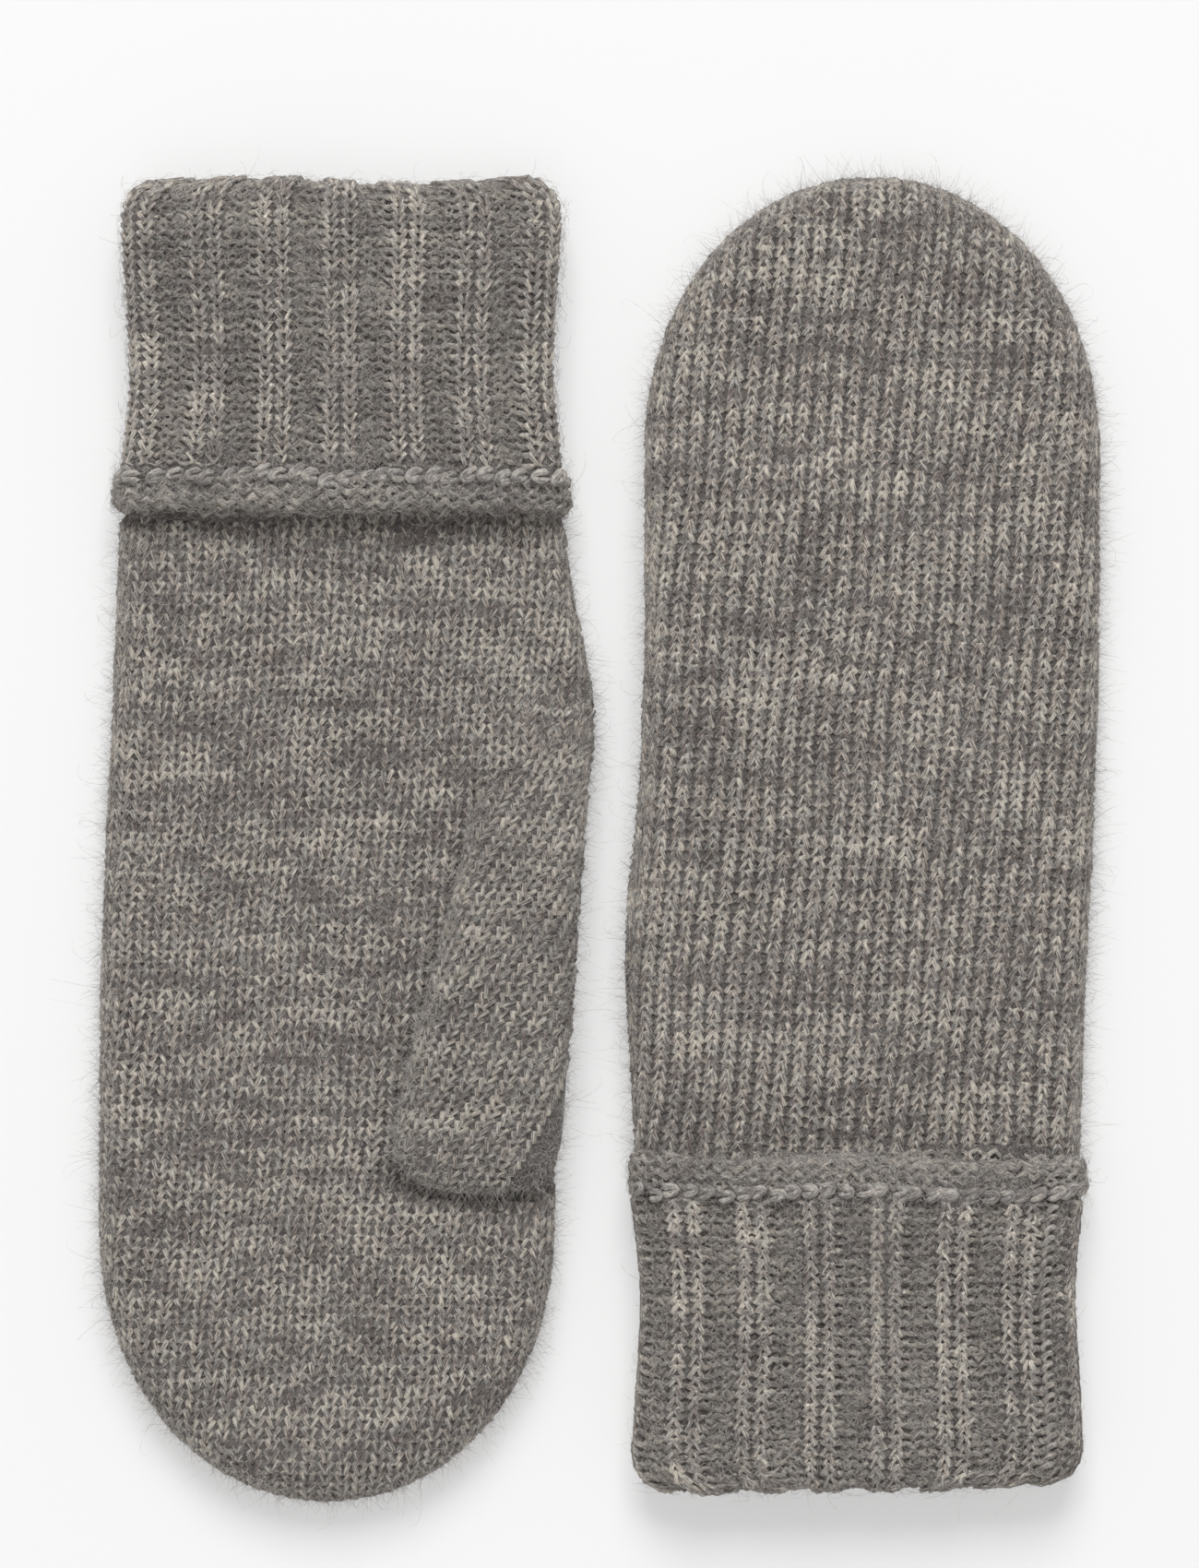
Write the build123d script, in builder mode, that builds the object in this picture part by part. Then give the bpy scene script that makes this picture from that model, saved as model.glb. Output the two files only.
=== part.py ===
from build123d import *
from math import cos, radians, sin
import os

# A pair of knitted mittens with turned-back rib cuffs, lying flat.
#
# Millimetres.  X runs across the pair, Y along the hands and Z up.  The origin is on the
# table in the middle of the pair.  The left mitten lies palm up at -X, with its fingertips
# towards -Y and its thumb folded over the palm from the +X side.  The right mitten is the
# same pattern made up the other way round: turned over and end for end, it lies back up at
# +X with its thumb folded beneath the palm.

os.makedirs("parts", exist_ok=True)

# ---- The knitted fabric ------------------------------------------------------------------
knit = 2.2                # thickness of the fabric
slack = 0.35              # air between two layers that slide or fold on each other
seam = 1.2                # width of a linked seam
edge_round = 7.5          # roundness of the soft edges of hand and cuff

# ---- Along the mitten --------------------------------------------------------------------
mitten_length = 269.0     # from the fold of the cuff to the fingertips
cuff_height = 68.0        # of the turned-back cuff
welt_height = 5.5         # rolled loops along the free edge of the cuff
chain_height = 4.0        # chain of stitches that joins the welt to the ribbing
tip_length = 55.0         # of the rounded fingertip end
tip_shoulder = 45.0       # degrees round the tip where its curve grows flatter

# ---- Across the mitten -------------------------------------------------------------------
cuff_centre_x = -52.5     # centre line of the left cuff
hem_width = 91.0          # of the cuff at its free edge
neck_width = 86.0         # of the cuff where the ribbing draws it in
fold_width = 90.0         # of the cuff at its fold
fold_corner = 8.0         # rounding of the two ends of the fold
wrist_width = 89.0        # of the hand where it leaves the cuff
palm_width = 93.0         # of the hand where the fingertip rounding starts
palm_lean = -3.5          # the palm lies this far off the centre line of the cuff
gusset_bulge = 3.0        # the hand stands out this far at the root of the thumb
gusset_y = 10.0           # how far up the hand it does so

# ---- Thumb -------------------------------------------------------------------------------
thumb_length = 93.5       # from root to tip
thumb_height = 11.6       # two layers of fabric and the air between them
thumb_root_width = 19.0
thumb_tip_width = 32.5
thumb_tip_round = 12.5    # corner radius of the thumb tip
thumb_edge_round = 4.8
thumb_lean = 4.0          # degrees from the line of the hand, towards the palm
thumb_root_x = -4.6       # outer end of the thumb's root, on the fold line
thumb_root_y = 20.5
pinched_air = 0.95        # air left inside the hand where the thumb lies on it
pocket_reach = 12.0       # the thumb's path stays clear this far beyond its fold line

# ---- Ribbed cuff seam --------------------------------------------------------------------
cuff_seam_inset = 7.5     # from the outer edge of the cuff at its neck

# ---- Worked out from those ---------------------------------------------------------------
mitten_height = thumb_height + slack + 2 * knit + pinched_air
middle_z = mitten_height / 2
fold_y = mitten_length / 2
hem_y = fold_y - cuff_height
chain_y = hem_y + welt_height
rib_y = chain_y + chain_height
wrist_y = hem_y - slack
tip_y = -mitten_length / 2
knuckle_y = tip_y + tip_length
palm_centre_x = cuff_centre_x + palm_lean

sleeve_inside_width = neck_width - 2 * knit
sleeve_inside_height = mitten_height - 2 * knit
inner_cuff_width = sleeve_inside_width - 2 * slack
inner_cuff_height = sleeve_inside_height - 2 * slack
wrist_hole_width = inner_cuff_width - 2 * knit
wrist_hole_height = inner_cuff_height - 2 * knit

thumb_low_z = mitten_height - thumb_height
pocket_floor_z = thumb_low_z - slack
panel_split_z = knit + pinched_air / 2
thumb_middle_z = mitten_height - thumb_height / 2

# The wrist plane faces the fold of the cuff; the thumb plane has x towards the thumb tip
# and y outwards, away from the palm, with its origin on the line the thumb folds about.
across_wrist = Plane(origin=(cuff_centre_x, 0, middle_z), x_dir=(1, 0, 0), z_dir=(0, 1, 0))
along_thumb = Plane(
    origin=(thumb_root_x, thumb_root_y, 0), x_dir=(0, -1, 0), z_dir=(0, 0, 1)
).rotated((0, 0, -thumb_lean))
thumb_root = Plane(
    origin=along_thumb.origin, x_dir=along_thumb.y_dir, z_dir=along_thumb.x_dir
)


# ---- Flat outlines -----------------------------------------------------------------------
with BuildSketch() as hand_plan:
    with BuildLine():
        outer_knuckle = (palm_centre_x - palm_width / 2, knuckle_y)
        inner_knuckle = (palm_centre_x + palm_width / 2, knuckle_y)
        outer_wrist = (cuff_centre_x - wrist_width / 2, wrist_y)
        inner_wrist = (cuff_centre_x + wrist_width / 2, wrist_y)
        gusset = ((inner_wrist[0] + inner_knuckle[0]) / 2 + gusset_bulge, gusset_y)
        shoulder_x = palm_width / 2 * cos(radians(tip_shoulder))
        shoulder_y = knuckle_y - tip_length * sin(radians(tip_shoulder))
        outer_shoulder = (palm_centre_x - shoulder_x, shoulder_y)
        inner_shoulder = (palm_centre_x + shoulder_x, shoulder_y)
        TangentArc(outer_knuckle, outer_wrist, tangent=(0, 1))
        outer_turn = TangentArc(outer_knuckle, outer_shoulder, tangent=(0, -1))
        TangentArc(outer_shoulder, inner_shoulder, tangent=outer_turn % 1)
        TangentArc(inner_knuckle, inner_shoulder, tangent=(0, -1))
        palm_edge = TangentArc(inner_knuckle, gusset, tangent=(0, 1))
        TangentArc(gusset, inner_wrist, tangent=palm_edge % 1)
        Line(inner_wrist, outer_wrist)
    make_face()

with BuildSketch() as cuff_plan:
    with BuildLine():
        Line((cuff_centre_x - hem_width / 2, hem_y), (cuff_centre_x + hem_width / 2, hem_y))
        neck_y = (hem_y + fold_y) / 2
        for side in (-1, 1):
            Spline(
                (cuff_centre_x + side * hem_width / 2, hem_y),
                (cuff_centre_x + side * neck_width / 2, neck_y),
                (cuff_centre_x + side * fold_width / 2, fold_y),
            )
        Line((cuff_centre_x - fold_width / 2, fold_y), (cuff_centre_x + fold_width / 2, fold_y))
    make_face()
    fillet(cuff_plan.vertices().group_by(Axis.Y)[-1], radius=fold_corner)

with BuildSketch() as thumb_plan:
    with BuildLine():
        Polyline(
            (0, 0),
            (thumb_length, 0),
            (thumb_length, -thumb_tip_width),
            (0, -thumb_root_width),
            close=True,
        )
    make_face()
    fillet(thumb_plan.vertices().group_by(Axis.X)[-1], radius=thumb_tip_round)

# The pocket is the ground the thumb covers, open outwards to beyond the edge of the hand,
# with room for the seam round the root of the thumb.
with BuildSketch() as pocket_plan:
    add(thumb_plan.sketch)
    offset(amount=slack, kind=Kind.INTERSECTION)
    with Locations((-slack - seam, -slack - thumb_root_width)):
        Rectangle(
            thumb_length + 2 * slack + seam,
            slack + thumb_root_width + pocket_reach,
            align=(Align.MIN, Align.MIN),
        )


# ---- Soft shapes that the pieces are cut from --------------------------------------------
def soft_block(plane, plan, inset, low, high, roundness, open_end):
    """A cushion on a flat outline, with every long edge rounded but those in open_end."""
    with BuildPart() as block:
        with BuildSketch(plane.offset(low)):
            add(plan)
            if inset:
                offset(amount=-inset, mode=Mode.REPLACE)
        extrude(amount=high - low)
        rims = block.edges().group_by(Axis.Z)
        fillet(
            [e for e in rims[0] + rims[-1] if abs(open_end.to_local_coords(e.center()).Z) > 0.01],
            radius=roundness,
        )
    return block.part


def level(low, high):
    """All the space over the left mitten between two heights."""
    with BuildPart() as space:
        with BuildSketch(Plane.XY.offset(low)):
            with Locations((cuff_centre_x, 0)):
                Rectangle(2 * palm_width, 2 * mitten_length)
        extrude(amount=high - low)
    return space.part


def between(start_y, end_y):
    """All the space across the left mitten between two places along the hand."""
    with BuildPart() as space:
        with BuildSketch(across_wrist.offset(start_y)):
            Rectangle(2 * palm_width, 2 * mitten_height)
        extrude(amount=end_y - start_y)
    return space.part


def over_thumb(plan, inset, low, high):
    """An upright block on an outline in the plane of the thumb."""
    with BuildPart() as space:
        with BuildSketch(along_thumb.offset(low)):
            add(plan)
            if inset:
                offset(amount=-inset, kind=Kind.INTERSECTION, mode=Mode.REPLACE)
        extrude(amount=high - low)
    return space.part


hand_block = soft_block(
    Plane.XY, hand_plan.sketch, 0, 0, mitten_height, edge_round, across_wrist.offset(wrist_y)
)
hand_hollow = soft_block(
    Plane.XY,
    hand_plan.sketch,
    knit,
    knit,
    mitten_height - knit,
    edge_round - knit,
    across_wrist.offset(wrist_y - knit),
)
above_mitten = mitten_height + knit
pocket = over_thumb(pocket_plan.sketch, 0, pocket_floor_z, above_mitten)
pocket_lining = over_thumb(pocket_plan.sketch, -knit, pocket_floor_z - knit, above_mitten)
pocket_panel = over_thumb(pocket_plan.sketch, -knit, panel_split_z, above_mitten)

with BuildPart() as wrist_passage:
    with BuildSketch(across_wrist.offset(wrist_y - 2 * knit)):
        RectangleRounded(wrist_hole_width, wrist_hole_height, knit)
    extrude(amount=2 * cuff_height)

# From the inside of the hand through the wall of the pocket into the thumb.
with BuildPart() as thumb_passage:
    with BuildSketch(along_thumb.offset(thumb_low_z + knit)):
        with Locations((-slack - seam - 2 * knit, -knit)):
            Rectangle(
                slack + seam + 3 * knit,
                thumb_root_width - 2 * knit,
                align=(Align.MIN, Align.MAX),
            )
    extrude(amount=thumb_height - 2 * knit)

with BuildPart() as hand_inside:
    add(hand_hollow)
    add(pocket_lining, mode=Mode.SUBTRACT)

# The hand as one knitted bag, before its panels and its seam are parted.
with BuildPart() as hand_bag:
    add(hand_block)
    add(hand_inside.part, mode=Mode.SUBTRACT)
    add(pocket, mode=Mode.SUBTRACT)
    add(wrist_passage.part, mode=Mode.SUBTRACT)
    add(thumb_passage.part, mode=Mode.SUBTRACT)

with BuildPart() as palm_side:
    add(level(middle_z + seam / 2, above_mitten))
    add(pocket_panel)


def cuff_core(width, height, roundness, start_y, end_y):
    """What fills a cuff up to its fold: a flattened bar, rounded at the fold."""
    with BuildPart() as core:
        with BuildSketch(across_wrist.offset(start_y)):
            RectangleRounded(width, height, roundness)
        extrude(amount=end_y - start_y)
        fillet(core.faces().sort_by(Axis.Y)[-1].edges(), radius=roundness - 0.01)
    return core.part


sleeve_inside = cuff_core(
    sleeve_inside_width, sleeve_inside_height, edge_round - knit, hem_y, fold_y - knit
)
inner_cuff_block = cuff_core(
    inner_cuff_width,
    inner_cuff_height,
    edge_round - knit - slack,
    wrist_y + seam,
    fold_y - knit - slack,
)

# The whole turned-back cuff, before its edge and its seam are parted.
with BuildPart() as cuff_sleeve:
    add(
        soft_block(
            Plane.XY, cuff_plan.sketch, 0, 0, mitten_height, edge_round, across_wrist.offset(hem_y)
        )
    )
    add(sleeve_inside, mode=Mode.SUBTRACT)
    add(wrist_passage.part, mode=Mode.SUBTRACT)

with BuildPart() as cuff_seam_zone:
    with BuildSketch(across_wrist.offset(rib_y)):
        with Locations((cuff_seam_inset - neck_width / 2, middle_z)):
            Rectangle(seam, 2 * knit)
    extrude(amount=cuff_height)

with BuildPart() as thumb_sleeve:
    add(
        soft_block(
            along_thumb,
            thumb_plan.sketch,
            0,
            thumb_low_z,
            mitten_height,
            thumb_edge_round,
            thumb_root,
        )
    )
    add(
        soft_block(
            along_thumb,
            thumb_plan.sketch,
            knit,
            thumb_low_z + knit,
            mitten_height - knit,
            thumb_edge_round - knit,
            thumb_root.offset(knit),
        ),
        mode=Mode.SUBTRACT,
    )
    add(thumb_passage.part, mode=Mode.SUBTRACT)

with BuildPart() as thumb_tip_zone:
    with BuildSketch(along_thumb.offset(thumb_middle_z - seam / 2)):
        with Locations((thumb_length - thumb_tip_round, -thumb_tip_width / 2)):
            Rectangle(2 * thumb_tip_round, 2 * thumb_tip_width, align=(Align.MIN, Align.CENTER))
    extrude(amount=seam)


# ---- The pieces --------------------------------------------------------------------------
def save_pair(piece, name):
    """Write a piece of the left mitten, and its twin in the right one."""
    piece.part.label = "left_" + name
    export_step(piece.part, "parts/left_" + name + ".step")
    mirrored = mirror(piece.part, about=Plane.YZ, mode=Mode.PRIVATE)
    with BuildPart() as twin:
        with Locations((0, 0, mitten_height)):
            add(mirrored, rotation=(180, 0, 0))
    twin.part.label = "right_" + name
    export_step(twin.part, "parts/right_" + name + ".step")


with BuildPart() as palm_panel:
    add(hand_bag.part)
    add(palm_side.part, mode=Mode.INTERSECT)
save_pair(palm_panel, "palm_panel")

with BuildPart() as back_panel:
    add(hand_bag.part)
    add(level(0, middle_z - seam / 2), mode=Mode.INTERSECT)
    add(pocket_panel, mode=Mode.SUBTRACT)
save_pair(back_panel, "back_panel")

with BuildPart() as panel_seams:
    add(hand_bag.part)
    add(level(middle_z - seam / 2, middle_z + seam / 2), mode=Mode.INTERSECT)
    add(pocket_panel, mode=Mode.SUBTRACT)

# The linked seam that runs down one side, round the fingertips and up to the thumb.
with BuildPart() as side_seam:
    add(panel_seams.solids().sort_by(SortBy.VOLUME)[-1])
save_pair(side_seam, "side_seam")

# Its short other end, between the thumb and the wrist.
with BuildPart() as gusset_seam:
    add(panel_seams.solids().sort_by(SortBy.VOLUME)[0])
save_pair(gusset_seam, "gusset_seam")

# A ring inside the turned-back cuff, where the ribbing starts.
with BuildPart() as wrist_seam:
    with BuildSketch(across_wrist.offset(wrist_y)):
        RectangleRounded(inner_cuff_width, inner_cuff_height, edge_round - knit - slack)
        RectangleRounded(wrist_hole_width, wrist_hole_height, knit, mode=Mode.SUBTRACT)
    extrude(amount=seam)
save_pair(wrist_seam, "wrist_seam")

with BuildPart() as inner_cuff:
    add(inner_cuff_block)
    add(wrist_passage.part, mode=Mode.SUBTRACT)
save_pair(inner_cuff, "inner_cuff")

with BuildPart() as turned_cuff:
    add(cuff_sleeve.part)
    add(between(rib_y, fold_y), mode=Mode.INTERSECT)
    add(cuff_seam_zone.part, mode=Mode.SUBTRACT)
save_pair(turned_cuff, "turned_cuff")

with BuildPart() as cuff_seam:
    add(cuff_sleeve.part)
    add(cuff_seam_zone.part, mode=Mode.INTERSECT)
save_pair(cuff_seam, "cuff_seam")

with BuildPart() as cuff_chain:
    add(cuff_sleeve.part)
    add(between(chain_y, rib_y), mode=Mode.INTERSECT)
save_pair(cuff_chain, "cuff_chain")

with BuildPart() as cuff_welt:
    add(cuff_sleeve.part)
    add(between(hem_y, chain_y), mode=Mode.INTERSECT)
save_pair(cuff_welt, "cuff_welt")

with BuildPart() as thumb:
    add(thumb_sleeve.part)
    add(thumb_tip_zone.part, mode=Mode.SUBTRACT)
save_pair(thumb, "thumb")

with BuildPart() as thumb_tip_seam:
    add(thumb_sleeve.part)
    add(thumb_tip_zone.part, mode=Mode.INTERSECT)
save_pair(thumb_tip_seam, "thumb_tip_seam")

# The seam that sets the thumb into the palm, a frame round the mouth of the thumb.
with BuildPart() as thumb_root_seam:
    with BuildSketch(thumb_root.offset(-slack - seam)):
        with Locations((-thumb_root_width / 2, thumb_middle_z)):
            RectangleRounded(thumb_root_width, thumb_height, thumb_edge_round)
            Rectangle(
                thumb_root_width - 2 * knit, thumb_height - 2 * knit, mode=Mode.SUBTRACT
            )
    extrude(amount=seam)
save_pair(thumb_root_seam, "thumb_root_seam")
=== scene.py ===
import math
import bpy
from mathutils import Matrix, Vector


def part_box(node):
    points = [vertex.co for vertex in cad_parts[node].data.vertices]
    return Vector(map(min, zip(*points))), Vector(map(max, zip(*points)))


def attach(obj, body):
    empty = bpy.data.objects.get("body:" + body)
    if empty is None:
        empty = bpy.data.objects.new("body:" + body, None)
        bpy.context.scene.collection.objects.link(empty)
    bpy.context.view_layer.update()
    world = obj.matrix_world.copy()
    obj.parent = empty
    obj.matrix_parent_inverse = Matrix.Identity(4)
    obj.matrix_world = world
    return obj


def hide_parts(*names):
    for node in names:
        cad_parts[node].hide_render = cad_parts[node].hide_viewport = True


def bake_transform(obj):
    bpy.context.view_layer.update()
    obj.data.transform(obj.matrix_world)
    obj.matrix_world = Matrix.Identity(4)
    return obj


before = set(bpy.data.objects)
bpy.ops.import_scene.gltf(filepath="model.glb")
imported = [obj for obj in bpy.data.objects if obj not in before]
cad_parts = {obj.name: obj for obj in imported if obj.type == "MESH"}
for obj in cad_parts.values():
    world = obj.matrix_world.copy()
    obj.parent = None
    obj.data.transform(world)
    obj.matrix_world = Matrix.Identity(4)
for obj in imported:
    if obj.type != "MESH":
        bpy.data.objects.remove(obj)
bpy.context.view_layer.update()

from types import SimpleNamespace

import bmesh
import bpy
import numpy as np
from mathutils import Vector

# A pair of felted wool mittens.  Every surface is knitted: rows of yarn loops are laid on the
# shape of each panel over a thin felted web, painted dark as the shade between the loops, and
# loose fibres are strewn over the loops.
#
# Shapes are worked out in millimetres on one mitten: q runs across it from its centre line,
# towards the thumb; s runs along it from the fold of the cuff to the fingertips; z is height.
MM = 0.001
TAU = 2 * math.pi

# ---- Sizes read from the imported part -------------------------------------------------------
hand_low, hand_high = (np.array(corner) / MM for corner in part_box("left_palm_panel"))
cuff_low, cuff_high = (np.array(corner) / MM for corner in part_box("left_turned_cuff"))
thumb_low = np.array(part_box("left_thumb")[0]) / MM
FOLD_Y = cuff_high[1]                      # the cuff's fold, where s is 0
CUFF_X = (cuff_low[0] + cuff_high[0]) / 2  # a mitten's centre line, where q is 0
HEM_S = FOLD_Y - hand_high[1]              # the cuff's free edge
TIP_S = FOLD_Y - hand_low[1]               # the fingertips
THUMB_TIP_S = FOLD_Y - thumb_low[1]

# ---- The knitting --------------------------------------------------------------------------
WALE = 3.58               # width of a column of stitches
COURSE = 2.07             # height of a row
RIB_WALE = 3.36
YARN = 0.72               # radius of the felted yarn
LOOP_SWAY = 0.98          # how far a leg swings across its column
LOOP_REACH = 1.72         # half the height of a loop
LOOP_LIFT = 0.6           # legs lie over the heads and feet by twice this
LEG_PULL = 0.19           # pulls neighbouring legs together into a V
RIB_PULL = 0.27           # the same in the ribs
POINTS_PER_STITCH = 6
PURL_LIFT = 0.45          # felting flattens the purl columns to this share
WALE_LEAN = math.tan(math.radians(5))
WEB = 0.9                 # thickness of the felted web behind the loops
FIBRE = 0.038             # radius of a loose fibre
LONG_SHARE = 0.03         # share of the fibres that are long and loose
EDGE_SHARE = 0.6          # share of the fibres that stand near a panel's edge
FIBRES = {"upper": 10500, "lower": 2000, "left thumb": 5000, "thumb": 500, "cuff": 8000, "welt": 3400}

# ---- The hand, flat on the table -----------------------------------------------------------
WRIST_HALF = 44.8
WRIST_DRAWN_IN = 3.4      # where the hand is joined to the inner cuff
PALM_HALF = 45.7
PALM_LEAN = -3.1          # the palm lies off the cuff's centre line, away from the thumb
TIP_LENGTH = 55.0
TIP_SQUARE = 2.05         # 2 would make the fingertips an ellipse
RIM = 7.0                 # softness of the side edges
TOP_HEIGHT = 11.2         # middle of the upper fabric
BOTTOM_HEIGHT = 1.3       # middle of the lower fabric

# ---- The thumb -----------------------------------------------------------------------------
THUMB_Q = {"left": 50.2, "right": 44.8}   # outer end of its root
THUMB_S = 114.0
THUMB_LENGTH = 93.0
THUMB_LEAN = math.radians(4)
THUMB_ROOT = 19.0
THUMB_TIP = 35.5
THUMB_TIP_LENGTH = 14.0
THUMB_SQUARE = 2.5
THUMB_RIM = 5.0
THUMB_WALE_LEAN = math.radians(29)
THUMB_BULGE = {"left": 6.2, "right": 2.0}

# ---- The cuff ------------------------------------------------------------------------------
NECK_HALF = 42.6
FOLD_HALF = 44.6
HEM_HALF = 45.2
CUFF_MIDDLE = 9.3         # height of its middle
CUFF_THICK = 6.3          # from its middle to the fabric
CUFF_WALES = 56
CUFF_CORNER = 7.0         # roundness of its corners at the fold
CUFF_RELIEF = 0.85        # how far its ribs stand up
TURNED_IN = 15.0          # length of the cloth that turns inside at the fold
INNER_WALES = 52
INNER_MIDDLE = 8.0
INNER_THICK = 2.5
CUFF_RIM = 7.0
FOLD_ROUND = 1.9
HEM_ROUND = 1.3
SEAM_Q = -37.8            # the seam over its ribs
CUFF_PUSHED = {"left": 0.0, "right": 2.5}   # how far the cuff is pushed towards the fingertips
CHAIN_S = HEM_S - 7.6


def turned_down(rim):
    """How much further cloth reaches when its edge turns down over a rim."""
    return rim * (math.pi / 2 - 1)


def smooth(low, high, value):
    """0 below low, 1 above high, and a soft rise between."""
    t = np.clip((value - low) / (high - low), 0, 1)
    return t * t * (3 - 2 * t)


def sway(a, b, size, seed):
    """A soft random swell over the cloth, between about -1 and 1, whose swells are size long."""
    rng = np.random.default_rng(seed)
    total = 0
    for _ in range(6):
        turn, phase = rng.uniform(0, TAU, 2)
        wave = TAU / (size * rng.uniform(0.8, 1.9))
        total = total + np.sin(wave * (a * math.cos(turn) + b * math.sin(turn)) + phase)
    return total / 2.4


# ---- Cloth laid over a soft rim ------------------------------------------------------------
def fold_over_rim(q, s, centre, half, tip_start, tip_length, square, rim):
    """Where flat cloth comes to lie when its edge turns down over a soft rim.
    Returns q and s seen from above, how much of the full height is left, and how far it is
    to the cloth's own edge."""
    way = np.where(q >= centre, 1.0, -1.0)
    u = np.abs(q - centre) / half + 1e-9
    w = np.maximum(s - tip_start, 0) / tip_length
    rho = (u**square + w**square) ** (1 / square)
    slope_q = way * (u / rho) ** (square - 1) / half
    slope_s = (w / rho) ** (square - 1) / tip_length
    steep = np.hypot(slope_q, slope_s)
    inside = (1 - rho) / steep
    flat = inside + turned_down(rim)
    turn = np.clip(flat / rim, 0, math.pi / 2)
    move = np.where(flat < rim * math.pi / 2, rim * (1 - np.cos(turn)) - inside, 0)
    return q - slope_q / steep * move, s - slope_s / steep * move, np.sin(turn), flat


def thumb_bulge(side, s):
    """How far the hand stands out where its thumb grows from it."""
    return THUMB_BULGE[side] * smooth(70, THUMB_S - 2, s) * (1 - smooth(THUMB_S, 152, s))


def palm_centre(side, s):
    return PALM_LEAN * smooth(HEM_S, 190, s) + thumb_bulge(side, s) / 2


def palm_half(side, s):
    drawn_in = WRIST_DRAWN_IN * (1 - smooth(HEM_S - 3, HEM_S + 3, s))
    widened = (PALM_HALF - WRIST_HALF) * smooth(HEM_S, 140, s)
    return WRIST_HALF - drawn_in + widened + thumb_bulge(side, s) / 2


def thumb_place(side, m, n):
    """m runs down the thumb from its root, n outwards from its outer edge."""
    lean_q, lean_s = math.sin(THUMB_LEAN), math.cos(THUMB_LEAN)
    return THUMB_Q[side] - m * lean_q + n * lean_s, THUMB_S + m * lean_s + n * lean_q


def thumb_coordinates(side, q, s):
    lean_q, lean_s = math.sin(THUMB_LEAN), math.cos(THUMB_LEAN)
    q, s = q - THUMB_Q[side], s - THUMB_S
    return -q * lean_q + s * lean_s, q * lean_s + s * lean_q


def thumb_half(m):
    return (THUMB_ROOT + (THUMB_TIP - THUMB_ROOT) * np.clip(m / THUMB_LENGTH, -0.1, 1)) / 2


def over_thumb(side, q, s, inner, outer):
    """1 well under the thumb, 0 clear of it; the change lies between inner and outer from its edge."""
    m, n = thumb_coordinates(side, q, s)
    beside = -n - 2 * thumb_half(m)
    beyond = m - THUMB_LENGTH - 2.5
    within = np.maximum(beside, beyond)
    outside = np.hypot(np.maximum(beside, 0), np.maximum(beyond, 0))
    before_root = 1.5 * np.maximum(12 - m, 0)
    return 1 - smooth(inner, outer, np.where(within > 0, outside, within) + before_root)


def panel_height(top, bottom, upper, rise):
    """Height of a panel that meets the other one in the rim between them."""
    rim = (top + bottom) / 2
    return rim + ((top if upper else bottom) - rim) * rise


class Hand:
    """One panel of the hand, the upper or the lower, of the left or the right mitten."""

    def __init__(self, side, upper):
        self.side, self.upper = side, upper
        self.start = HEM_S - 3

    def laid(self, q, s):
        centre, half = palm_centre(self.side, s), palm_half(self.side, s)
        return fold_over_rim(q, s, centre, half, TIP_S - TIP_LENGTH, TIP_LENGTH, TIP_SQUARE, RIM)

    def flat_edge(self, q, s):
        return self.laid(q, s)[3]

    def __call__(self, q, s):
        q1, s1, rise, _ = self.laid(q, s)
        swell = 0.5 * sway(q1, s1, 46, 3 if self.side == "left" else 8)
        top = TOP_HEIGHT + swell - 1.4 * (1 - smooth(HEM_S, 92, s1))
        bottom = BOTTOM_HEIGHT + 3.2 * (1 - smooth(HEM_S, 98, s1))
        if self.side == "left":
            under = over_thumb(self.side, q1, s1, -6, 3.5)
            top = top + (4.6 - top) * under
        else:
            under = over_thumb(self.side, q1, s1, -1, 9)
            bottom = bottom + 7.9 * under
            top = top + 1.5 * under
        return np.stack([q1, s1, panel_height(top, bottom, self.upper, rise)], -1)


class Thumb:
    """The upper or the lower side of a thumb, which lies on the palm."""

    def __init__(self, side, upper):
        self.side, self.upper = side, upper

    def laid(self, q, s):
        m, n = thumb_coordinates(self.side, q, s)
        half = thumb_half(m)
        tip_start = THUMB_LENGTH - THUMB_TIP_LENGTH
        return fold_over_rim(n + half, m, 0, half, tip_start, THUMB_TIP_LENGTH, THUMB_SQUARE, THUMB_RIM)

    def flat_edge(self, q, s):
        m, _ = thumb_coordinates(self.side, q, s)
        return np.minimum(self.laid(q, s)[3], m + 9)

    def __call__(self, q, s):
        n1, m1, rise, _ = self.laid(q, s)
        half = thumb_half(m1)
        q1, s1 = thumb_place(self.side, m1, n1 - half)
        grown = smooth(-9, 48, m1)
        if self.side == "left":
            bottom = 7.3 + 1.6 * (1 - smooth(0, 14, m1))
            top = 9.8 + 6.0 * grown + 0.4 * sway(q1, s1, 24, 5)
        else:
            bottom = 1.3 + 3.0 * (1 - grown)
            top = 4.8 + 1.9 * grown
        return np.stack([q1, s1, panel_height(top, bottom, self.upper, rise)], -1)


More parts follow.
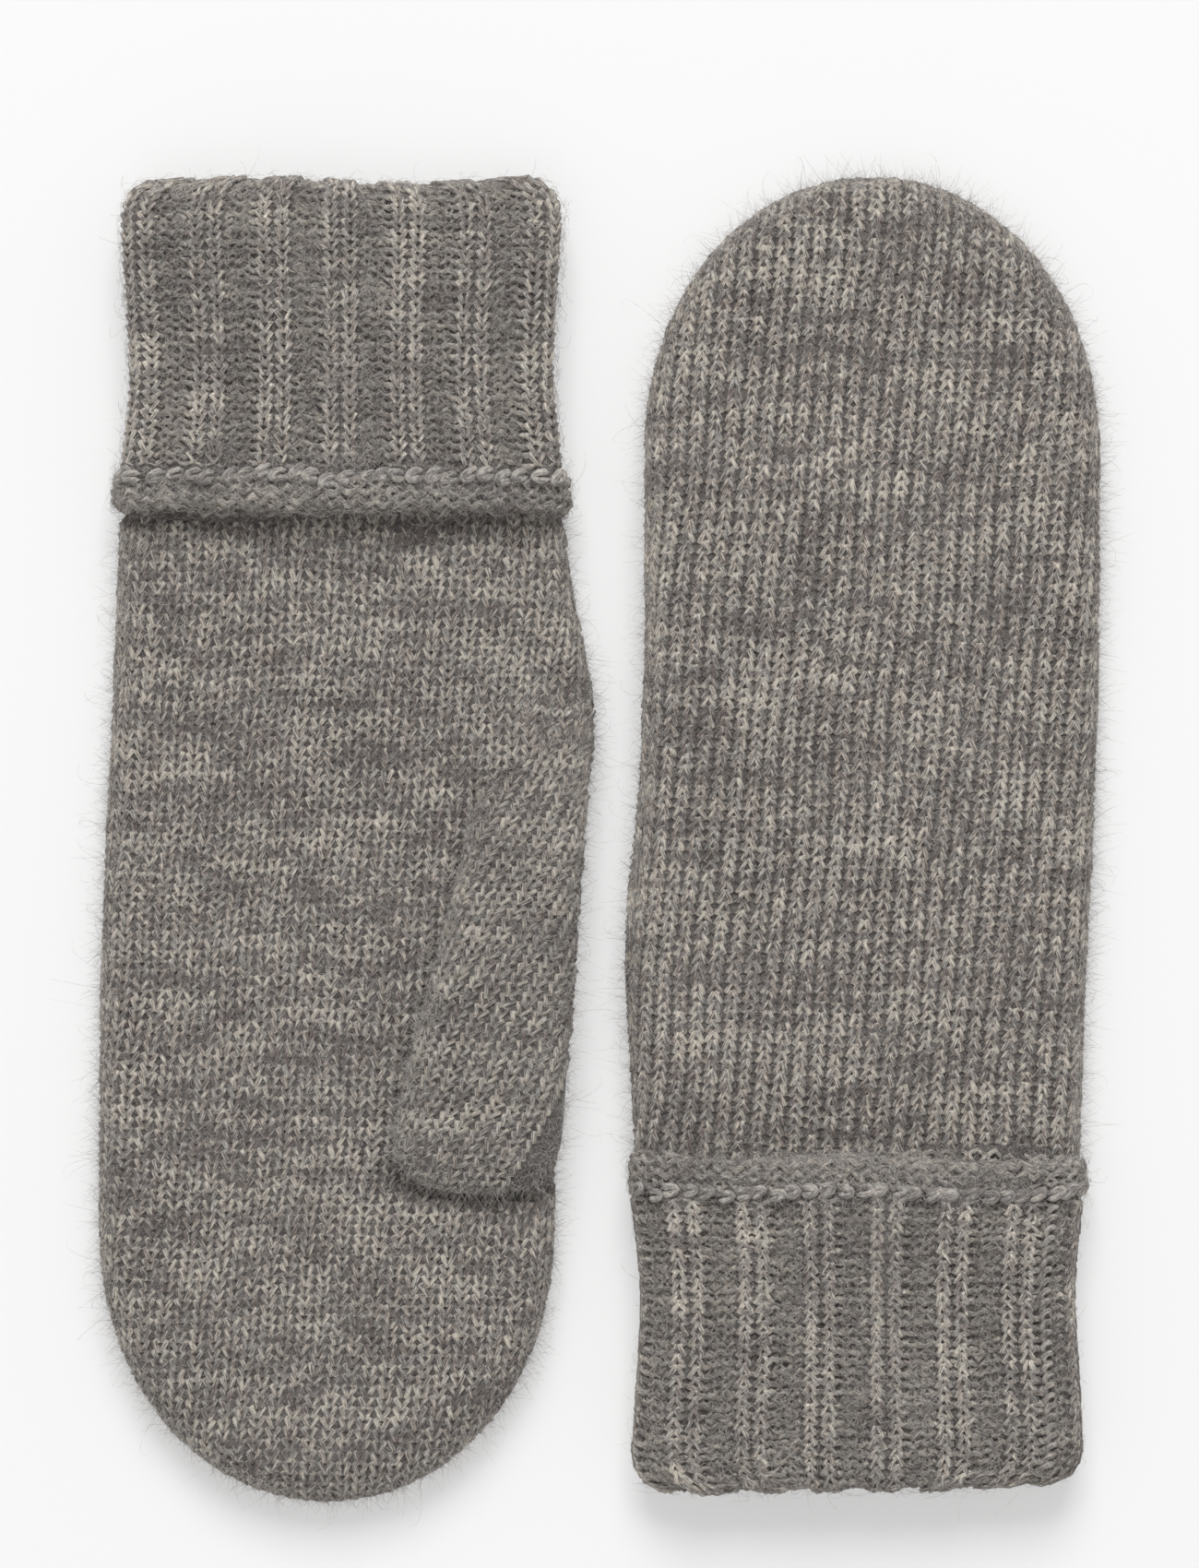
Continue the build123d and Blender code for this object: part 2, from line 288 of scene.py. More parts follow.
class Tube:
    """A ribbed tube lying flat.  a runs round it from the middle of its upper side, in wales of the
    rib; e runs along the cloth, which may turn in at the fold (e < 0) or at the hem."""

    def __init__(self, side, half, thick, middle, wales, seed, turn_at=0.0, hem_at=None):
        self.side, self.half, self.thick, self.middle = side, half, thick, middle
        self.wales, self.seed, self.turn_at, self.hem_at = wales, seed, turn_at, hem_at

    def along(self, e):
        """Where the cloth lies along the mitten, and how far it has turned inwards."""
        r = FOLD_ROUND
        turn = np.clip((self.turn_at + r - e) / r, 0, math.pi)
        past = np.maximum((self.turn_at + r - e) / r - math.pi, 0) * r
        s = np.where(turn > 0, self.turn_at + r - r * np.sin(turn) + past, e)
        inward = r * (1 - np.cos(turn))
        if self.hem_at is not None:
            r = HEM_ROUND
            turn = np.clip((e - self.hem_at + r) / r, 0, math.pi)
            past = np.maximum((e - self.hem_at + r) / r - math.pi, 0) * r
            s = np.where(turn > 0, self.hem_at - r + r * np.sin(turn) - past, s)
            inward = inward + r * (1 - np.cos(turn))
        return s, inward

    def __call__(self, a, e):
        s, inward = self.along(e)
        half = self.half(s) - inward
        thick = self.thick(s) - inward
        bend = np.minimum(CUFF_RIM, thick + 0.5)
        straight = 2 * (half - bend)
        arc = math.pi * bend
        lap = 2 * straight + 2 * arc
        # a is turned into a length round the tube, starting at the middle of the upper side
        d = np.mod(a / self.wales, 1) * lap
        d = np.where(d > lap / 2, d - lap, d)
        way = np.sign(d)
        d = np.abs(d)
        turn = np.clip((d - straight / 2) / bend, 0, math.pi)
        q = np.minimum(d, straight / 2) + bend * np.sin(turn)
        q = np.where(turn >= math.pi, straight / 2 - (d - straight / 2 - arc), q) * way
        z = np.cos(turn) * thick
        swell = 0.45 * sway(q, s, 34, self.seed) * np.cos(turn)
        near_fold = 1 - smooth(0, 18, s)
        near_hem = smooth(HEM_S - 16, HEM_S, s)
        wavy_fold = 0.7 + 0.9 * sway(q, 0 * q, 60, self.seed + 1)
        wavy_hem = 0.8 * sway(q, 0 * q, 55, self.seed + 2)
        s = s + CUFF_PUSHED[self.side] + wavy_fold * near_fold + wavy_hem * near_hem
        return np.stack([q, s, self.middle(s) + z + swell], -1)


def place(side, points):
    """Puts points of one mitten where that mitten lies in the pair."""
    turn = 1 if side == "left" else -1
    q, s, z = np.moveaxis(points, -1, 0)
    return np.stack([turn * (CUFF_X + q), turn * (FOLD_Y - s), z], -1)


def lifted(surface, side, a, b, lift, outward):
    """Points of the surface raised by lift along its own outward normal, and those normals."""
    step = 0.2
    here = place(side, surface(a, b))
    across = place(side, surface(a + step, b)) - place(side, surface(a - step, b))
    along = place(side, surface(a, b + step)) - place(side, surface(a, b - step))
    normal = np.cross(across, along)
    normal /= np.linalg.norm(normal, axis=-1, keepdims=True) + 1e-12
    return here + normal * (lift * outward)[..., None], normal * outward


# ---- Yarn ----------------------------------------------------------------------------------
def yarn_section(sides):
    """The flat ring that is swept along a yarn, turned so that the yarn's faces point outwards."""
    name = f"yarn_section_{sides}"
    if name in bpy.data.objects:
        return bpy.data.objects[name]
    curve = bpy.data.curves.new(name, "CURVE")
    curve.dimensions = "2D"
    ring = curve.splines.new("POLY")
    ring.points.add(sides - 1)
    ring.use_cyclic_u = True
    for i, point in enumerate(ring.points):
        turn = -TAU * i / sides
        point.co = (MM * math.cos(turn), MM * math.sin(turn), 0, 1)
    section = bpy.data.objects.new(name, curve)
    bpy.context.scene.collection.objects.link(section)
    return section


def strand(points, radius, cloth, closed=False, crest=0.0):
    """One length of yarn, kept above the table.  crest is 1 on the high columns of a rib, which the
    cuff's wool paints lighter as lit, and -1 in the hollows, which it paints darker as shade."""
    count = len(points)
    height = np.maximum(points[:, 2], radius + 0.02)
    return SimpleNamespace(
        points=np.column_stack([points[:, 0], points[:, 1], height]),
        radius=np.broadcast_to(radius, count),
        cloth=cloth,
        closed=closed,
        crest=np.broadcast_to(crest, count),
    )


def yarn_piece(name, strands, material, sides=5, lumps=0.09):
    """Sweeps yarn along every strand.  Each vertex keeps its place on the straightened yarn
    and its place on the flat cloth, for the wool's colours."""
    curve = bpy.data.curves.new(name, "CURVE")
    curve.dimensions = "3D"
    curve.bevel_mode = "OBJECT"
    curve.bevel_object = yarn_section(sides)
    straight, cloth = [], []
    for row, s in enumerate(strands):
        spline = curve.splines.new("POLY")
        spline.points.add(len(s.points) - 1)
        spline.use_cyclic_u = s.closed
        with_weight = np.column_stack([s.points * MM, np.ones(len(s.points))])
        spline.points.foreach_set("co", with_weight.ravel())
        spline.points.foreach_set("radius", s.radius.astype(float))
        steps = np.linalg.norm(np.diff(s.points, axis=0), axis=1)
        length = np.concatenate([[0], np.cumsum(steps)])
        turn = -TAU * np.arange(sides) / sides
        # each yarn is moved aside, so that its colours are not its neighbour's
        beside = (s.radius[:, None] * np.cos(turn)).ravel() + 7.3 * (row % 400)
        above = (s.radius[:, None] * np.sin(turn)).ravel()
        straight.append(np.column_stack([np.repeat(length, sides), beside, above]))
        cloth.append(np.repeat(s.cloth, sides, axis=0))
    made = bpy.data.objects.new(name + "_line", curve)
    bpy.context.scene.collection.objects.link(made)
    bpy.context.view_layer.update()
    swept = made.evaluated_get(bpy.context.evaluated_depsgraph_get())
    mesh = bpy.data.meshes.new_from_object(swept)
    bpy.data.objects.remove(made)
    mesh.name = name
    # felting leaves the yarn lumpy
    middle = np.repeat(np.concatenate([s.points for s in strands]), sides, axis=0) * MM
    skin = np.empty(len(middle) * 3)
    mesh.vertices.foreach_get("co", skin)
    skin = skin.reshape(-1, 3)
    rng = np.random.default_rng(len(middle))
    skin = middle + (skin - middle) * (1 + lumps * rng.normal(0, 1, (len(middle), 1)))
    mesh.vertices.foreach_set("co", skin.ravel())
    straight, cloth = np.concatenate(straight) * MM, np.concatenate(cloth) * MM
    for attribute, values in (("yarn", straight), ("cloth", cloth), ("rest", skin)):
        layer = mesh.attributes.new(attribute, "FLOAT_VECTOR", "POINT")
        layer.data.foreach_set("vector", values.astype(np.float32).ravel())
    layer = mesh.attributes.new("crest", "FLOAT", "POINT")
    crest = np.repeat(np.concatenate([s.crest for s in strands]), sides)
    layer.data.foreach_set("value", crest.astype(np.float32))
    while mesh.uv_layers:
        mesh.uv_layers.remove(mesh.uv_layers[0])
    mesh.materials.clear()
    mesh.materials.append(material)
    piece = bpy.data.objects.new(name, mesh)
    bpy.context.scene.collection.objects.link(piece)
    return piece


def loop_path(stitches, wale, sway_by, pull, rng):
    """One row of stocking-stitch loops: its places across the row and along the cloth, how high
    they lie, and which stitch each belongs to."""
    t = np.arange(stitches * POINTS_PER_STITCH + 1) * (TAU / POINTS_PER_STITCH)
    stitch = np.minimum((t / TAU + 0.5).astype(int), stitches)
    wild = rng.normal(0, 1, (4, stitches + 1))[:, stitch]
    swung = sway_by * (1 + 0.10 * wild[0]) * np.sin(2 * t)
    pulled = pull * (1 + 0.5 * wild[2]) * np.sin(t)
    across = wale * t / TAU + swung - pulled
    along = -LOOP_REACH * (1 + 0.07 * wild[1]) * np.cos(t) + 0.10 * wild[2]
    lift = -LOOP_LIFT * (1 + 0.15 * wild[3]) * np.cos(2 * t)
    return across, along, lift, stitch


def knit_panel(
    name, panel, material, wale_way, course_way, start, end, reach_across, seed, cloth_shift, sides=5
):
    """Rows of loops over a panel, each cut where the panel's cloth ends."""
    rng = np.random.default_rng(seed)
    rows = []
    stitches = int(2 * reach_across / WALE)
    for j in range(int((end - start) / COURSE)):
        across, along, lift, _ = loop_path(stitches, WALE, LOOP_SWAY, LEG_PULL, rng)
        across = across - stitches * WALE / 2
        along = along + start + j * COURSE
        q = across * course_way[0] + along * wale_way[0]
        s = across * course_way[1] + along * wale_way[1]
        q, s = q + 0.35 * sway(q, s, 30, seed + 1), s + 0.75 * sway(q, s, 42, seed + 2)
        inside = panel.flat_edge(q, s) > 0.15
        if inside.sum() < POINTS_PER_STITCH:
            continue
        first, last = np.flatnonzero(inside)[[0, -1]]
        across, q, s, lift = (line[first : last + 1] for line in (across, q, s, lift))
        points, _ = lifted(panel, panel.side, q, s, lift, panel.facing)
        radius = YARN * (1 + 0.09 * sway(across, np.full(len(q), j * 9.0), 7, seed + 3))
        radius[[0, -1]] = 0.02
        rows.append(strand(points, radius, np.column_stack([q, s, np.full(len(q), cloth_shift)])))
    return yarn_piece(name, rows, material, sides)


def rib_face(across):
    """+1 over the two knit columns of a rib, -1 over the two purl columns between ribs."""
    beat = np.mod(across + 0.5, 4)
    on, off = smooth(-0.16, 0.16, beat), smooth(1.84, 2.16, beat)
    return 2 * on - 1 - 2 * off + 2 * smooth(3.84, 4.16, beat)


def rib_ground(across, e, relief):
    """How high the cloth lies: the knit columns stand up from the purl columns, fading unevenly."""
    beat = np.mod(across + 0.5, 4)
    on, off = smooth(-0.35, 0.25, beat), smooth(1.75, 2.35, beat)
    soft = 2 * on - 1 - 2 * off + 2 * smooth(3.65, 4.25, beat)
    worn = 1 + 0.25 * sway(across * RIB_WALE, e * 0.5, 26, 77)
    return relief * soft * worn * smooth(-6, 4, e)


def knit_tube(
    name, tube, material, first, last, seed, cloth_shift,
    rib=True, relief=CUFF_RELIEF, phase=0.0, yarn=YARN, sides=5,
):
    """Closed rows of loops round a tube, in two-and-two rib or with the backs of the loops outside."""
    rng = np.random.default_rng(seed)
    rows = []
    for j in range(int((last - first) / COURSE)):
        row = loop_path(tube.wales, 1.0, LOOP_SWAY / RIB_WALE, RIB_PULL / RIB_WALE, rng)
        across, along, lift, stitch = (line[:-1] for line in row)
        wander = 0.5 * sway(across * 3.4, np.full(len(across), j * 2.0), 36, seed + 2)
        crest = np.zeros(len(across))
        if rib:
            face = rib_face(across)
            ground = rib_ground(across, first + j * COURSE + along, relief)
            across = across + 0.10 * np.sin(TAU * (np.mod(across + 0.5, 4) - 1) / 4)
            lift = lift * np.where(face > 0, 1.0, -PURL_LIFT) + ground
            uneven = 0.35 * rng.normal(0, 1, tube.wales + 1)[stitch]
            along = along * np.where(face > 0, 1.0, 0.8) + np.where(face > 0, 0, uneven)
            # how high the rib stands here, from which the cuff's wool paints light on crests and shade in
            # hollows
            crest = np.clip(ground / relief, -1, 1)
        else:
            lift = -0.7 * lift + 0.25 * rng.normal(0, 1, tube.wales + 1)[stitch]
        e = first + j * COURSE + along + wander
        points, _ = lifted(tube, tube.side, across + phase, e, lift, tube.facing)
        radius = yarn * (1 + 0.12 * sway(across * 3.4, np.full(len(across), j * 9.0), 7, seed + 3))
        cloth = np.column_stack([across * RIB_WALE, e, np.full(len(across), cloth_shift)])
        rows.append(strand(points, radius, cloth, closed=True, crest=crest))
    return yarn_piece(name, rows, material, sides)


def facing_of(surface, side, a, b, away_from):
    """+1 or -1: which way a surface's normal has to be taken to point away from a point inside."""
    a, b = np.array([float(a)]), np.array([float(b)])
    here, normal = lifted(surface, side, a, b, np.zeros(1), 1)
    return 1.0 if float(((here - away_from) * normal).sum()) > 0 else -1.0


# ---- The felted web behind the loops, painted dark as the shade between them ---------------
def web_piece(name, shape, columns, rows, material):
    """A thin felted sheet: a grid whose corners are laid where shape puts them."""
    grid = bmesh.new()
    bmesh.ops.create_grid(grid, x_segments=columns, y_segments=rows, size=1)
    flat = np.array([v.co[:2] for v in grid.verts])
    places, cloth = shape(flat[:, 0], flat[:, 1])
    layer = grid.verts.layers.float_vector.new("cloth")
    rest = grid.verts.layers.float_vector.new("rest")
    for v, p, c in zip(grid.verts, places, cloth):
        v.co = Vector(p * MM)
        v[layer] = Vector(c * MM)
        v[rest] = v.co
    bmesh.ops.remove_doubles(grid, verts=grid.verts, dist=0.02 * MM)
    bmesh.ops.recalc_face_normals(grid, faces=grid.faces)
    mesh = bpy.data.meshes.new(name)
    grid.to_mesh(mesh)
    grid.free()
    mesh.materials.append(material)
    piece = bpy.data.objects.new(name, mesh)
    bpy.context.scene.collection.objects.link(piece)
    wall = piece.modifiers.new("gap_shade_felt", "SOLIDIFY")
    wall.thickness = WEB * MM
    wall.offset = 0
    for face in mesh.polygons:
        face.use_smooth = True
    return piece


# ---- Loose fibres --------------------------------------------------------------------------
def fuzz_piece(name, surface, side, roots, seed, length=2.0, height=0.75):
    """Curly fibres that stand out of the yarn.  roots is where they start on the flat cloth.
    A few of them are long and loose, and the rest are a short haze."""
    rng = np.random.default_rng(seed)
    a, b, stand = roots
    count = len(a)
    is_long = rng.random(count) < LONG_SHARE
    loose, short = rng.uniform(1.8, 3.6, count), rng.lognormal(0, 0.35, count).clip(0.4, 1.8)
    long = np.where(is_long, length * loose, length * short)
    way = rng.uniform(0, TAU, count)
    curl = rng.normal(0, 1.5, count) * np.where(is_long, 1.8, 1)
    rise = np.abs(rng.normal(0, stand, count))
    here, normal = lifted(surface, side, a, b, height * rng.uniform(0.4, 1.2, count), surface.facing)
    side_way = np.cross(normal, [0.31, 0.94, 0.13])
    side_way /= np.linalg.norm(side_way, axis=1, keepdims=True)
    up_way = np.cross(side_way, normal)
    strands = []
    # long ones are bent most; those that stand round the edge are straight
    at_edge = stand > 1
    for which, steps in ((is_long, 7), (~is_long & at_edge, 2), (~is_long & ~at_edge, 3)):
        chosen = np.flatnonzero(which)
        at = here[chosen]
        path = [at]
        for i in range(1, steps):
            done = i / (steps - 1)
            turn = way[chosen] + curl[chosen] * done
            flow = side_way[chosen] * np.cos(turn)[:, None]
            flow = flow + up_way[chosen] * np.sin(turn)[:, None]
            bow = rise[chosen] * (1.3 - 1.5 * done if steps > 2 else 0.7)
            at = at + (flow + normal[chosen] * bow[:, None]) * (long[chosen] / (steps - 1))[:, None]
            path.append(at)
        path = np.stack(path, 1)
        path[..., 2] = np.maximum(path[..., 2], 0.05)
        taper = FIBRE * np.linspace(1.0, 0.35, steps)
        for i, k in enumerate(chosen):
            cloth = np.repeat([[a[k], b[k], 3.0]], steps, axis=0)
            strands.append(strand(path[i], taper, cloth))
    return yarn_piece(name, strands, loose_fibre, 3)


def strewn(flat_edge, q_range, s_range, count, seed):
    """Random places on a panel's flat cloth, with a share of them near its edge, and how far a
    fibre stands up from each."""
    rng = np.random.default_rng(seed)
    q = rng.uniform(*q_range, count * 6)
    s = rng.uniform(*s_range, count * 6)
    edge = flat_edge(q, s)
    inside = edge > 0.3
    near = inside & (edge < 7)
    pick_near = np.flatnonzero(near)[: int(count * EDGE_SHARE)]
    pick_all = np.flatnonzero(inside)[: count - len(pick_near)]
    pick = np.concatenate([pick_near, pick_all])
    return q[pick], s[pick], np.where(edge[pick] < 6, 1.3, 0.6)


# ---- Wool ----------------------------------------------------------------------------------
def group_nodes(name, inputs, outputs):
    group = bpy.data.node_groups.new(name, "ShaderNodeTree")
    for label, kind, value in inputs:
        socket = group.interface.new_socket(label, in_out="INPUT", socket_type=kind)
        if value is not None:
            socket.default_value = value
    for label, kind in outputs:
        group.interface.new_socket(label, in_out="OUTPUT", socket_type=kind)
    return group, group.nodes.new("NodeGroupInput"), group.nodes.new("NodeGroupOutput")


def scaled_noise(group, vector, scale, size, detail=2.0, roughness=0.5, distortion=0.0):
    stretch = group.nodes.new("ShaderNodeMapping")
    stretch.inputs["Scale"].default_value = scale
    group.links.new(vector, stretch.inputs["Vector"])
    grain = group.nodes.new("ShaderNodeTexNoise")
    grain.inputs["Scale"].default_value = size
    grain.inputs["Detail"].default_value = detail
    grain.inputs["Roughness"].default_value = roughness
    grain.inputs["Distortion"].default_value = distortion
    group.links.new(stretch.outputs["Vector"], grain.inputs["Vector"])
    return grain.outputs["Fac"]


def worked(group, operation, first, second=None):
    """A sum on values, each a socket or a plain number."""
    node = group.nodes.new("ShaderNodeMath")
    node.operation = operation
    for socket, value in zip(node.inputs, (first, second)):
        if isinstance(value, bpy.types.NodeSocket):
            group.links.new(value, socket)
        elif value is not None:
            socket.default_value = value
    return node.outputs[0]


def ranged(group, value, low, high, to_low=0.0, to_high=1.0):
    """Fits a value from one range to another, with soft ends."""
    fit = group.nodes.new("ShaderNodeMapRange")
    fit.interpolation_type = "SMOOTHSTEP"
    ends = {"From Min": low, "From Max": high, "To Min": to_low, "To Max": to_high}
    for label, number in ends.items():
        fit.inputs[label].default_value = number
    group.links.new(value, fit.inputs["Value"])
    return fit.outputs["Result"]


def mixed(group, amount, first, second):
    """Mixes two colours, each a socket or a plain colour."""
    mix = group.nodes.new("ShaderNodeMix")
    mix.data_type = "RGBA"
    sockets = mix.inputs["Factor"], mix.inputs[6], mix.inputs[7]
    for socket, value in zip(sockets, (amount, first, second)):
        if isinstance(value, bpy.types.NodeSocket):
            group.links.new(value, socket)
        else:
            socket.default_value = value
    return mix.outputs[2]


def heathered_wool():
    """Fibres of dark plum-brown, taupe and pale beige, carded unevenly and spun together."""
    group, given, made = group_nodes(
        "heathered_wool",
        [
            ("Yarn", "NodeSocketVector", None),
            ("Cloth", "NodeSocketVector", None),
            ("Dark", "NodeSocketColor", (0.115, 0.093, 0.085, 1)),
            ("Middle", "NodeSocketColor", (0.285, 0.255, 0.232, 1)),
            ("Cool", "NodeSocketColor", (0.25, 0.25, 0.24, 1)),
            ("Pale", "NodeSocketColor", (0.60, 0.535, 0.465, 1)),
            ("Fleck", "NodeSocketFloat", 0.5),
        ],
        [
            ("Colour", "NodeSocketColor"),
            ("Roughness", "NodeSocketFloat"),
            ("Height", "NodeSocketFloat"),
        ],
    )
    yarn, cloth = given.outputs["Yarn"], given.outputs["Cloth"]
    # long streaks along the rows, where darker or lighter wool was spun in
    streak = scaled_noise(group, cloth, (0.3, 1.0, 1.0), 260, 3.0, 0.55)
    patch = scaled_noise(group, cloth, (0.6, 1.0, 1.0), 70, 2.0, 0.5)
    # each short length of yarn has its own tone
    length = scaled_noise(group, yarn, (1.0, 0.55, 0.55), 430, 2.0, 0.6)
    # fibres lie along the yarn
    fibre = scaled_noise(group, yarn, (0.16, 1.0, 1.0), 3600, 3.0, 0.7, 0.3)
    speck = scaled_noise(group, yarn, (0.35, 1.0, 1.0), 1500, 1.0, 0.5, 0.2)
    tone = ranged(group, streak, 0.25, 0.75, -0.26, 0.26)
    for part in (
        ranged(group, patch, 0.3, 0.7, -0.12, 0.12),
        ranged(group, length, 0.3, 0.7, -0.26, 0.26),
        ranged(group, fibre, 0.32, 0.68, -0.14, 1.02),
    ):
        tone = worked(group, "ADD", tone, part)
    dark_side = ranged(group, tone, 0.0, 0.55)
    pale_side = ranged(group, tone, 0.46, 0.98)
    tint = scaled_noise(group, yarn, (0.5, 0.9, 0.9), 700, 2.0, 0.6)
    middle = mixed(group, ranged(group, tint, 0.40, 0.60), given.outputs["Middle"], given.outputs["Cool"])
    colour = mixed(group, dark_side, given.outputs["Dark"], middle)
    colour = mixed(group, pale_side, colour, given.outputs["Pale"])
    beige = ranged(group, speck, 0.60, 0.72)
    flecks = worked(group, "MULTIPLY", beige, given.outputs["Fleck"])
    colour = mixed(group, flecks, colour, given.outputs["Pale"])
    group.links.new(colour, made.inputs["Colour"])
    group.links.new(ranged(group, fibre, 0.2, 0.8, 0.78, 0.98), made.inputs["Roughness"])
    group.links.new(fibre, made.inputs["Height"])
    return group


def felt_haze():
    """Loose fibres matted over the stitches: fine curly pale lines that wander over the
    surface, each with a dark line of painted shadow beside it."""
    group, given, made = group_nodes(
        "felt_haze",
        [
            ("Place", "NodeSocketVector", None),
            ("Colour", "NodeSocketColor", (0.3, 0.3, 0.3, 1)),
            ("Fibre", "NodeSocketColor", (0.46, 0.43, 0.395, 1)),
            # colour of the painted shadow beside each fibre
            ("FibreShadow", "NodeSocketColor", (0.075, 0.06, 0.057, 1)),
            ("Amount", "NodeSocketFloat", 0.4),
            ("Height", "NodeSocketFloat", 0.5),
        ],
        [("Colour", "NodeSocketColor"), ("Height", "NodeSocketFloat")],
    )

    def line_at(curls, middle):
        away = worked(group, "ABSOLUTE", worked(group, "SUBTRACT", curls, middle))
        return ranged(group, away, 0.0, 0.035, 1.0, 0.0)

    mat = fibre_shadow_lines = None
    for size, stretch in ((430, (1.0, 1.25, 1.0)), (760, (1.3, 0.9, 1.0)), (1250, (1.0, 1.0, 1.0))):
        curls = scaled_noise(group, given.outputs["Place"], stretch, size, 1.0, 0.5, 1.4)
        # a pale line is a fibre; the dark line beside it is its painted shadow
        light, dark = line_at(curls, 0.51), line_at(curls, 0.44)
        mat = light if mat is None else worked(group, "MAXIMUM", mat, light)
        fibre_shadow_lines = dark if fibre_shadow_lines is None else worked(group, "MAXIMUM", fibre_shadow_lines, dark)
    matted = worked(group, "MULTIPLY", mat, given.outputs["Amount"])
    fibre_shadow_share = worked(group, "MULTIPLY", fibre_shadow_lines, given.outputs["Amount"])
    under = mixed(group, fibre_shadow_share, given.outputs["Colour"], given.outputs["FibreShadow"])
    over = mixed(group, matted, under, given.outputs["Fibre"])
    group.links.new(over, made.inputs["Colour"])
    raised = worked(group, "ADD", matted, given.outputs["Height"])
    group.links.new(raised, made.inputs["Height"])
    return group


WOOL = heathered_wool()
HAZE = felt_haze()


def read_attribute(tree, name, output="Vector"):
    node = tree.nodes.new("ShaderNodeAttribute")
    node.attribute_name = name
    return node.outputs[output]


def wool(name, dark, middle, pale, fleck=0.5, sheen=0.35, bump=0.75, haze=0.4, rib_light_shade=0.0):
    """Heathered wool under a haze of fibres and their painted shadows.  The last argument is how much
    lighter the high ribs and how much darker the hollows between them are painted: painted light and
    shade on the ribs.
    """
    material = bpy.data.materials.new(name)
    material.use_nodes = True
    tree = material.node_tree
    shader = tree.nodes["Principled BSDF"]
    shader.inputs["Sheen Weight"].default_value = sheen
    shader.inputs["Sheen Roughness"].default_value = 0.6
    shader.inputs["Sheen Tint"].default_value = (0.9, 0.86, 0.82, 1)
    shader.inputs["Specular IOR Level"].default_value = 0.15
    spun = tree.nodes.new("ShaderNodeGroup")
    spun.node_tree = WOOL
    cool = tuple(sum(middle) / 3 * tint for tint in (0.96, 1.0, 0.99))
    for label, colour in (("Dark", dark), ("Middle", middle), ("Cool", cool), ("Pale", pale)):
        spun.inputs[label].default_value = (*colour, 1)
    spun.inputs["Fleck"].default_value = fleck
    tree.links.new(read_attribute(tree, "yarn"), spun.inputs["Yarn"])
    tree.links.new(read_attribute(tree, "cloth"), spun.inputs["Cloth"])
    dent = tree.nodes.new("ShaderNodeBump")
    dent.inputs["Strength"].default_value = bump
    dent.inputs["Distance"].default_value = 0.25 * MM
    matted = tree.nodes.new("ShaderNodeGroup")
    matted.node_tree = HAZE
    matted.inputs["Amount"].default_value = haze
    tree.links.new(read_attribute(tree, "rest"), matted.inputs["Place"])
    colour = spun.outputs["Colour"]
    # painted light and shade: the crests of the ribs lighter, the hollows between them darker
    if rib_light_shade:
        crest = read_attribute(tree, "crest", "Fac")
        crest_light_shade = ranged(tree, crest, -1, 1, 1 - rib_light_shade, 1 + rib_light_shade)
        colour = mixed(tree, crest_light_shade, (0, 0, 0, 1), colour)
        colour.node.clamp_factor = False
    tree.links.new(colour, matted.inputs["Colour"])
    tree.links.new(spun.outputs["Height"], matted.inputs["Height"])
    tree.links.new(matted.outputs["Height"], dent.inputs["Height"])
    tree.links.new(matted.outputs["Colour"], shader.inputs["Base Color"])
    tree.links.new(spun.outputs["Roughness"], shader.inputs["Roughness"])
    tree.links.new(dent.outputs["Normal"], shader.inputs["Normal"])
    return material


HEATHER = (0.076, 0.057, 0.053), (0.265, 0.222, 0.198), (0.62, 0.565, 0.48)


def heather_lit_share(shade):
    """The three tones of the heather, all lighter or darker by the same share; each part's share paints
    in how much light falls on that part.
    """
    return [tuple(c * shade for c in tone) for tone in HEATHER]


# one heather in lighter and darker copies, part by part: painted light and shade
hand_wool = wool("hand_wool", *heather_lit_share(1.16), haze=0.25)
left_hand_wool = wool("left_hand_wool", *heather_lit_share(1.06), haze=0.25)
thumb_wool = wool("thumb_wool", *heather_lit_share(1.05), haze=0.35)
# the cuff's ribs carry painted light on their crests and painted shade in their hollows
cuff_wool = wool("cuff_wool", *heather_lit_share(1.13), haze=0.55, rib_light_shade=0.26)
# the chain's wool is paler than the cuff's: painted highlight on its raised links, which stand out and
# catch the light
chain_wool = wool(
    "chain_wool", (0.16, 0.136, 0.128), (0.42, 0.378, 0.35), (0.72, 0.66, 0.59), fleck=0.7
)
welt_wool = wool("welt_wool", *heather_lit_share(1.1), haze=0.6)
seam_wool = wool("seam_wool", (0.12, 0.10, 0.092), (0.33, 0.295, 0.27), (0.64, 0.58, 0.51))
# the web is far darker than the yarn: felt painted as the shade that shows in the gaps between the loops
gap_shade_felt = wool(
    "felted_web_painted_shade", (0.035, 0.028, 0.027), (0.10, 0.085, 0.079), (0.30, 0.27, 0.245), haze=0.45
)
loose_fibre = wool(
    "loose_fibre", (0.25, 0.228, 0.212), (0.47, 0.435, 0.405), (0.74, 0.69, 0.64),
    sheen=0.2, bump=0.0, haze=0.0,
)


# ---- Making the pair -----------------------------------------------------------------------
def finish_piece(piece, side, body, node):
    """Hides the imported part that a piece stands in for, and hangs the piece on its body; a thumb's
    pieces keep their place baked into the mesh and hang on nothing.
    """
    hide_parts(f"{side}_{node}")
    if body == "thumb":
        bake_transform(piece)
    else:
        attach(piece, f"{side}_{body}")


def flat_places(surface, side, a, b, lift, length_a, shift):
    """Where a web's grid is laid, and its places on the flat cloth for the wool's colours."""
    places, _ = lifted(surface, side, a, b, np.broadcast_to(lift, len(a)), surface.facing)
    return places, np.column_stack([a * length_a, b, np.full(len(a), shift)])


